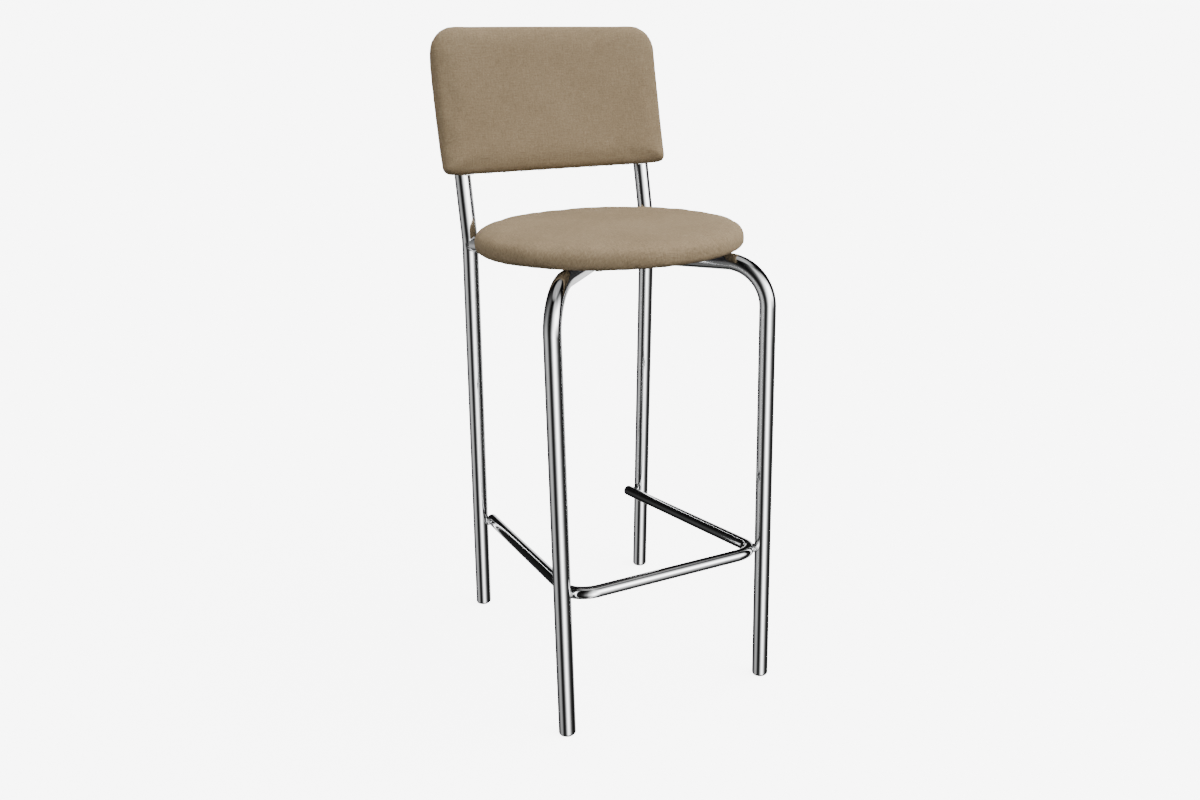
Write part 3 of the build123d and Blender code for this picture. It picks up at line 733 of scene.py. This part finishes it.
def inflated(piece, cap, held):
    """The piece's cover blown up a little by cloth simulation, with no point moved further than the cap.

    held is from 0 to 1 at each point, and 1 doesn't move. A move of length m becomes
    cap * tanh(m / cap) * (1 - held).
    """
    start = points_of(piece.data)
    group = piece.vertex_groups.new(name="held")
    for weight in (0.25, 0.5, 0.75, 1.0):
        chosen = np.nonzero(held >= weight - 0.01)[0].tolist()
        group.add(chosen, weight, "REPLACE")
    cloth = piece.modifiers.new("cover", "CLOTH")
    cloth.settings.quality = 6
    cloth.settings.mass = 0.3
    cloth.settings.tension_stiffness = 12
    cloth.settings.compression_stiffness = 12
    cloth.settings.shear_stiffness = 6
    cloth.settings.bending_stiffness = 1.5
    cloth.settings.use_pressure = True
    cloth.settings.uniform_pressure_force = PRESSURE
    cloth.settings.vertex_group_mass = "held"
    cloth.settings.effector_weights.gravity = 0
    cloth.collision_settings.use_collision = False
    cloth.point_cache.frame_start = 1
    cloth.point_cache.frame_end = SIM_FRAMES
    for step in range(1, SIM_FRAMES + 1):
        bpy.context.scene.frame_set(step)
    graph = bpy.context.evaluated_depsgraph_get()
    moved = points_of(piece.evaluated_get(graph).data) - start
    piece.modifiers.clear()
    piece.vertex_groups.clear()
    bpy.context.scene.frame_set(1)
    length = np.linalg.norm(moved, axis=1, keepdims=True)
    move = moved / np.maximum(length, 1e-9) * cap * np.tanh(length / cap)
    set_points(piece.data, start + move * (1 - held[:, None]))
    return piece


def evened(piece, rounds):
    """The piece's points moved part of the way to the mean of their neighbours, a number of times."""
    smooth = piece.modifiers.new("even_out", "SMOOTH")
    smooth.factor = 0.5
    smooth.iterations = rounds
    return applied(piece)


def fitted(values, low, high):
    """Values stretched evenly, so that the lowest and the highest are the given ones."""
    share = (values - values.min()) / (values.max() - values.min())
    return low + share * (high - low)


def store_cloth(piece, across, along):
    """Metres along the weft and the warp at each point, kept in the attribute that the weave reads."""
    values = np.stack([across * MM, along * MM, np.zeros_like(across)], -1)
    layer = piece.data.attributes.new("cloth", "FLOAT_VECTOR", "POINT")
    layer.data.foreach_set("vector", values.astype(np.float32).ravel())


def smoothed(piece):
    """One level of subdivision, shaded smooth."""
    subdivision = piece.modifiers.new("fine", "SUBSURF")
    subdivision.levels = 1
    subdivision.render_levels = 1
    piece.data.polygons.foreach_set("use_smooth", np.ones(len(piece.data.polygons), dtype=bool))
    return piece


SEAT_SHOULDER_R = 14.0
SEAT_LOW_R = 9.0
PLEATS = 46  # round the folded edge under the seat
PLEAT_DEPTH = 0.55


def seat_profile():
    """Profile (r, h) of the seat from the middle of its underside, round the rim, to the crown.

    A flat underside, an arc of the low radius, a short side, an arc of the shoulder radius, and a
    crown that rises as 1 - (r / edge)^2.
    """
    radius = SEAT_R - SWELL
    side_top = SEAT_SIDE_H - SWELL
    low = arc((radius - SEAT_LOW_R, -COVER_T + SEAT_LOW_R), SEAT_LOW_R, -90, 0, 8)
    shoulder = arc((radius - SEAT_SHOULDER_R, side_top - SEAT_SHOULDER_R), SEAT_SHOULDER_R, 0, 84, 10)
    edge = shoulder[-1, 0]
    inward = np.linspace(1, 0, 14)[1:]
    rise = SEAT_CROWN_H - SWELL - shoulder[-1, 1]
    crown = np.stack([edge * inward, shoulder[-1, 1] + rise * (1 - inward**2)], -1)
    floor = np.stack([np.linspace(0, radius - SEAT_LOW_R, 12)[:-1], np.full(11, -COVER_T)], -1)
    return np.concatenate([floor, low, shoulder, crown])


seat_pad = turned("seat_pad", seat_profile(), SEAT_BASE, SEAT_UP, around=160)
remeshed(seat_pad)


def seat_place(points):
    """Radius, height and bearing of points about the seat's axis."""
    q = points - SEAT_BASE
    x, y, h = q @ ACROSS, q @ SEAT_BACK, q @ SEAT_UP
    return np.hypot(x, y), h, np.arctan2(y, x)


radius, height, _ = seat_place(points_of(seat_pad.data))
held = np.clip((4.0 - height) / 5.0, 0, 1)
inflated(seat_pad, 3.2, held)
evened(seat_pad, 6)

seat_points = points_of(seat_pad.data)
radius, height, bearing = seat_place(seat_points)
radius = fitted(radius, radius.min(), SEAT_R)
height = fitted(height, -COVER_T, SEAT_CROWN_H)
seat_points = (
    SEAT_BASE
    + (radius * np.cos(bearing))[:, None] * ACROSS
    + (radius * np.sin(bearing))[:, None] * SEAT_BACK
    + height[:, None] * SEAT_UP
)
under = np.clip((2.5 - height) / 3.0, 0, 1) * np.clip((radius - 148) / 8, 0, 1)
pleats = np.maximum(0, np.sin(bearing * PLEATS + 0.8 * np.sin(bearing * 5))) ** 3
flat_under = (height < 3.0) & (radius < SEAT_R - SEAT_LOW_R)
seat_points += SEAT_UP * ((-COVER_T - height) * flat_under)[:, None]
seat_points -= SEAT_UP * (under * pleats * PLEAT_DEPTH)[:, None]
set_points(seat_pad.data, seat_points)
radius, height, bearing = seat_place(seat_points)
spread = np.where(height > 14, radius, 2 * SEAT_R - radius + 0.6 * (14 - height))
store_cloth(seat_pad, spread * np.cos(bearing), spread * np.sin(bearing))
smoothed(seat_pad)
finish_with(seat_pad, TAUPE)
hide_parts("seat_cover", "seat_foam")


def panel_outline(inset_side, inset_top, inset_bottom, around=200):
    """Rounded outline of the back panel as arrays across and up, with even arc length.

    Four straight sides and four corner arcs, the top ones large and the bottom ones small.
    """
    half = PANEL_HALF_W - inset_side
    low = PANEL_BOTTOM + inset_bottom
    high = PANEL_TOP - inset_top
    top_r = max(PANEL_CORNER_R - inset_side, 1.0)
    low_r = max(PANEL_LOW_CORNER_R - inset_bottom, 1.0)
    line = np.concatenate(
        [
            arc((half - low_r, low + low_r), low_r, -90, 0, 12),
            arc((half - top_r, high - top_r), top_r, 0, 90, 24),
            arc((-half + top_r, high - top_r), top_r, 90, 180, 24),
            arc((-half + low_r, low + low_r), low_r, 180, 270, 12),
        ]
    )
    loop = np.concatenate([line, line[:1]])
    run = np.concatenate([[0], np.cumsum(np.linalg.norm(np.diff(loop, axis=0), axis=1))])
    even = np.linspace(0, run[-1], around, endpoint=False)
    return np.interp(even, run, loop[:, 0]), np.interp(even, run, loop[:, 1])


def panel_point(x, up, ahead):
    """Points of the back panel from across, up along the uprights and ahead of their axes."""
    return (
        KINK_MIDDLE
        + np.asarray(x)[..., None] * ACROSS
        + np.asarray(up)[..., None] * LEAN_UP
        + np.asarray(ahead)[..., None] * LEAN_FORWARD
    )


PANEL_CROWN = 1.0
PANEL_FULLNESS = 0.8  # the soft sides stand this much prouder than the flat outline
PANEL_ROUND = 9.0
PANEL_REAR_ROUND = 9.0


def panel_rings():
    """Rings of the back panel from the rear middle, round the edge, to the front middle.

    Each ring is the outline, inset: the rear edge turns by an arc, the flank spreads evenly to the
    widest ring, and the front edge turns by an arc. Inside the last ring of each face the outline
    shrinks evenly to the middle.
    """
    front = PANEL_FRONT - SWELL
    back = PANEL_BACK + SWELL * 0.5
    middle_up = (PANEL_BOTTOM + PANEL_TOP) / 2
    steps = []
    for a in np.radians(np.linspace(0, 80, 6)):
        inset = PANEL_REAR_INSET + PANEL_REAR_ROUND * (1 - math.sin(a))
        steps.append((back + PANEL_REAR_ROUND * (1 - math.cos(a)), inset))
    steps.append((PANEL_WAIST + 2.0, 0.4))
    steps.append((front - PANEL_ROUND, 0.0))
    for a in np.radians(np.linspace(8, 90, 8)):
        steps.append((front - PANEL_ROUND * (1 - math.sin(a)), PANEL_ROUND * (1 - math.cos(a))))
    rings = []
    for ahead, inset in steps:
        low = SWELL * 0.5 + (inset if ahead > PANEL_WAIST else inset * 0.35)
        x, up = panel_outline(inset + SWELL, inset + SWELL, low)
        rings.append(np.stack([x, up, np.full_like(x, ahead)], -1))
    centre = np.array([0.0, middle_up, 0.0])
    shares = np.linspace(1, 0, 12)[1:-1]
    rear_fill = [centre + (rings[0] - centre) * [s, s, 1] for s in shares[::-1]]
    front_fill = []
    for s in shares:
        ring = centre + (rings[-1] - centre) * [s, s, 1]
        ring[:, 2] += 1.2 * (1 - s**2)
        front_fill.append(ring)
    return np.array(rear_fill + rings + front_fill)


rings = panel_rings()
count, around = rings.shape[:2]
middles = np.array([rings[0].mean(0), rings[-1].mean(0)])
shape = np.concatenate([rings.reshape(-1, 3), middles])
faces = ring_faces(count, around)
k = np.arange(around)
last = (count - 1) * around
faces += np.stack([np.full(around, count * around), (k + 1) % around, k], -1).tolist()
faces += np.stack([np.full(around, count * around + 1), last + k, last + (k + 1) % around], -1).tolist()
back_pad = mesh_piece("back_pad", panel_point(shape[:, 0], shape[:, 1], shape[:, 2]), faces)
remeshed(back_pad)


def panel_place(points):
    """Across, up and ahead of points in the back panel's own directions."""
    q = points - KINK_MIDDLE
    return q @ ACROSS, q @ LEAN_UP, q @ LEAN_FORWARD


x, up, ahead = panel_place(points_of(back_pad.data))
held = np.clip((PANEL_BOTTOM + 3.0 - up) / 4.0, 0, 1)
held = np.maximum(held, 0.6 * (ahead < PANEL_WAIST))
inflated(back_pad, 2.6, held)
evened(back_pad, 8)

x, up, ahead = panel_place(points_of(back_pad.data))
x = fitted(x, -PANEL_HALF_W - PANEL_FULLNESS, PANEL_HALF_W + PANEL_FULLNESS)
up = fitted(up, PANEL_BOTTOM, PANEL_TOP)
ahead = fitted(ahead, PANEL_BACK, PANEL_FRONT + PANEL_CROWN)
set_points(back_pad.data, panel_point(x, up, ahead))
turn_over = np.where(ahead < PANEL_WAIST, PANEL_WAIST - ahead, 0.0)
store_cloth(back_pad, x + np.sign(x) * turn_over, up + turn_over)
smoothed(back_pad)
finish_with(back_pad, TAUPE)
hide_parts("back_cover", "back_foam", "back_infill")

# ---- stage, light and camera --------------------------------------------------------------------

floor_mesh = bpy.data.meshes.new("floor")
FLOOR_HALF = 400  # metres, to a far horizon
floor_corners = [(x * FLOOR_HALF, y * FLOOR_HALF, 0) for x, y in ((-1, -1), (1, -1), (1, 1), (-1, 1))]
floor_mesh.from_pydata(floor_corners, [], [(0, 1, 2, 3)])
floor = bpy.data.objects.new("floor", floor_mesh)
bpy.context.scene.collection.objects.link(floor)
floor_paint, _, _ = new_material(
    "pale_floor",
    Base_Color=(0.90, 0.90, 0.90, 1),
    Roughness=0.9,
    Emission_Color=(1, 1, 1, 1),
    Emission_Strength=6.0,
)
finish_with(floor, floor_paint)
floor.visible_glossy = False
floor.visible_diffuse = False
floor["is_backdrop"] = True


def soft_sun(name, towards, strength, spread):
    """Distant light of a wide angle, shining towards a direction."""
    light = bpy.data.lights.new(name, "SUN")
    light.energy = strength
    light.angle = math.radians(spread)
    lamp = bpy.data.objects.new(name, light)
    lamp.rotation_mode = "QUATERNION"
    lamp.rotation_quaternion = Vector(towards).to_track_quat("-Z", "Y")
    lamp.visible_glossy = False
    bpy.context.scene.collection.objects.link(lamp)
    return lamp


soft_sun("key", (-0.62, 0.30, -0.72), 3.9, 60)
soft_sun("fill", (-0.10, 0.75, -0.65), 1.4, 80)
soft_sun("rear", (0.45, -0.75, -0.45), 0.9, 90)

world = bpy.data.worlds.new("studio")
bpy.context.scene.world = world
world.use_nodes = True
tree = world.node_tree
tree.nodes.clear()
way = node(tree, "ShaderNodeTexCoord").outputs["Generated"]
parts = node(tree, "ShaderNodeSeparateXYZ", {"Vector": way})
bearing = sums(tree, "ARCTAN2", parts.outputs["Y"], parts.outputs["X"])
turn = sums(tree, "MULTIPLY_ADD", bearing, 0.5 / math.pi, 0.5)


def at(degrees):
    """Place on the ramp of a bearing in degrees, from -180 to 180."""
    return degrees / 360 + 0.5


walls = ramp(
    tree,
    turn,
    [
        (at(-180), 0.60),
        (at(-168), 0.26),
        (at(-157), 0.03),
        (at(-144), 0.012),
        (at(-134), 0.06),
        (at(-120), 0.45),
        (at(-108), 2.4),
        (at(-94), 7.0),
        (at(-80), 4.2),
        (at(-67), 0.95),
        (at(-50), 0.17),
        (at(-33), 0.035),
        (at(-15), 0.018),
        (at(118), 0.018),
        (at(134), 0.12),
        (at(152), 0.42),
        (at(170), 0.80),
        (at(180), 0.60),
    ],
)
height = sums(tree, "MULTIPLY_ADD", parts.outputs["Z"], 0.5, 0.5)
over = ramp(
    tree,
    height,
    [
        (0.0, 0.20),
        (0.14, 0.30),
        (0.27, 0.85),
        (0.37, 1.0),
        (0.46, 0.8),
        (0.58, 0.5),
        (0.80, 0.25),
        (0.89, 0.15),
        (0.94, 0.05),
    ],
)
window = ramp(tree, turn, [(at(-92), 0.0), (at(-74), 1.0), (at(-46), 1.0), (at(-26), 0.0)])
window_rise = ramp(
    tree,
    height,
    [(0.36, 0.0), (0.46, 1.5), (0.55, 6.0), (0.68, 6.0), (0.80, 1.4), (0.89, 0.2), (0.95, 0.0)],
)
rear_wall = ramp(tree, turn, [(at(14), 0.0), (at(34), 1.5), (at(66), 1.5), (at(86), 0.0)])
rear_rise = ramp(tree, height, [(0.05, 0.2), (0.28, 1.0), (0.50, 1.0), (0.56, 0.0)])
ceiling = ramp(tree, height, [(0.93, 0.0), (0.97, 0.5)])
studio = mixed_colour(tree, "MULTIPLY", walls, over)
for extra in (
    mixed_colour(tree, "MULTIPLY", window, window_rise),
    mixed_colour(tree, "MULTIPLY", rear_wall, rear_rise),
    ceiling,
):
    studio = mixed_colour(tree, "ADD", studio, extra)

# The chrome reflects the banded studio, the eye sees white, and everything else gets the soft dome.
rays = node(tree, "ShaderNodeLightPath")
dome = ramp(tree, height, [(0.40, 0.10), (0.60, 0.88)])
soft = node(tree, "ShaderNodeBackground", {"Color": dome, "Strength": 1.0})
seen = node(tree, "ShaderNodeBackground", {"Color": (1, 1, 1, 1), "Strength": 8.0})
mirror = node(tree, "ShaderNodeBackground", {"Color": studio, "Strength": 1.05})
sky = soft
for ray, background in (("Is Glossy Ray", mirror), ("Is Camera Ray", seen)):
    sky = node(
        tree,
        "ShaderNodeMixShader",
        {0: rays.outputs[ray], 1: sky.outputs[0], 2: background.outputs[0]},
    )
node(tree, "ShaderNodeOutputWorld", {"Surface": sky.outputs[0]})

camera_data = bpy.data.cameras.new("camera")
camera_data.sensor_fit = "HORIZONTAL"
camera_data.sensor_width = 36.0
camera_data.lens = 34.80
camera_data.shift_x = -0.1221
camera_data.shift_y = -0.0552
camera_data.clip_end = 2000
camera = bpy.data.objects.new("camera", camera_data)
bpy.context.scene.collection.objects.link(camera)
right = Vector((0.86768, -0.49699, 0.01175))
upward = Vector((0.12884, 0.24763, 0.96027))
backward = Vector((-0.48015, -0.83169, 0.27889))
turn_matrix = Matrix((right, upward, backward)).transposed().to_4x4()
camera.matrix_world = Matrix.Translation(Vector((-0.5969, -1.4316, 0.9162))) @ turn_matrix
bpy.context.scene.camera = camera

low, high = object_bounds()
